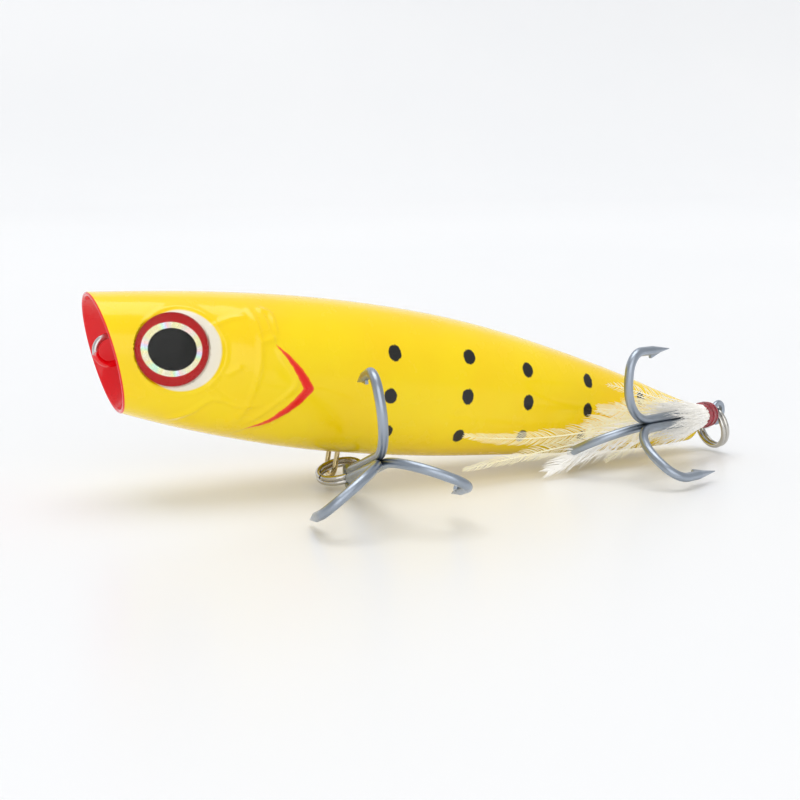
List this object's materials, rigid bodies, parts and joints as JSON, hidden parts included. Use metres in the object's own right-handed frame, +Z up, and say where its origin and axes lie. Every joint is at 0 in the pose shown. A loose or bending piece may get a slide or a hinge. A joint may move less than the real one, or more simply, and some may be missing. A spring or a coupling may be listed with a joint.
{
  "type": "topwater popper",
  "caption": "Floating fishing lure with a cupped mouth, domed eyes, a belly treble hook on a split ring and a feather-dressed tail treble hook.",
  "frame": {"origin": "centre of the tow eye, the wire loop inside the cup of the mouth", "axes": "+X towards the tail along the flat surface the lure lies on, -Y towards the lure's left side, +Z up; the body lies nose up by 9.8 degrees"},
  "size_m": [0.1354, 0.0616, 0.0395],
  "materials": {
    "yellow_body": "high gloss lacquer",
    "wire_steel": "bright drawn wire",
    "hanger_wire": "bright drawn wire",
    "weight_metal": "dull",
    "rattle_tube": "clear moulded",
    "rattle_steel": "polished",
    "crimp_copper": "pressed",
    "eye_foil": "printed foil",
    "eye_clear": "clear resin",
    "ring_nickel": "bright nickel",
    "hook_steel": "satin plated",
    "red_thread": "wound thread under varnish",
    "white_hair": "stiff straight hair",
    "cream_feather": "hackle feather"
  },
  "bodies": {
    "lure_body": {"left_shell": "yellow_body", "right_shell": "yellow_body", "through_wire": "wire_steel", "belly_hanger": "hanger_wire", "belly_weight": "weight_metal", "tail_weight": "weight_metal", "rattle_tube": "rattle_tube", "front_crimp": "crimp_copper", "rear_crimp": "crimp_copper", "left_eye_disc": "eye_foil", "right_eye_disc": "eye_foil", "left_eye_dome": "eye_clear", "right_eye_dome": "eye_clear"},
    "front_ring": {"front_split_ring": "ring_nickel"},
    "front_hook": {"front_hook_single": "hook_steel", "front_hook_double": "hook_steel"},
    "rear_ring": {"rear_split_ring": "ring_nickel"},
    "rear_hook": {"rear_hook_single": "hook_steel", "rear_hook_double": "hook_steel", "thread_wrap": "red_thread", "hair_bundle": "white_hair", "feather_upper_long": "cream_feather", "feather_lower_long": "cream_feather", "feather_plume": "cream_feather", "feather_web": "cream_feather"},
    "front_rattle": {"rattle_ball_front": "rattle_steel"},
    "rear_rattle": {"rattle_ball_rear": "rattle_steel"}
  },
  "joints": [
    {"name": "front_ring_swing", "type": "hinge", "parent": "lure_body", "child": "front_ring", "pos_m": [0.04347, 0, -0.02506], "axis": [0.9854, 0, -0.1702], "range_deg": [-10, 150]},
    {"name": "front_hook_swing", "type": "hinge", "parent": "front_ring", "child": "front_hook", "pos_m": [0.04373, -0.00834, -0.02604], "axis": [0.9815, -0.1473, 0.1224], "range_deg": [-20, 40]},
    {"name": "rear_ring_swing", "type": "hinge", "parent": "lure_body", "child": "rear_ring", "pos_m": [0.12884, 0, -0.02317], "axis": [0.1702, 0, 0.9854], "range_deg": [0, 120]},
    {"name": "rear_hook_swing", "type": "hinge", "parent": "rear_ring", "child": "rear_hook", "pos_m": [0.12934, -0.00658, -0.01966], "axis": [0.4509, -0.8905, -0.0611], "range_deg": [0, 45]},
    {"name": "front_rattle_run", "type": "slide", "parent": "lure_body", "child": "front_rattle", "axis": [-0.9854, 0, 0.1702], "range_m": [0, 0.0088]},
    {"name": "rear_rattle_run", "type": "slide", "parent": "lure_body", "child": "rear_rattle", "axis": [-0.9854, 0, 0.1702], "range_m": [0, 0.0088]}
  ]
}
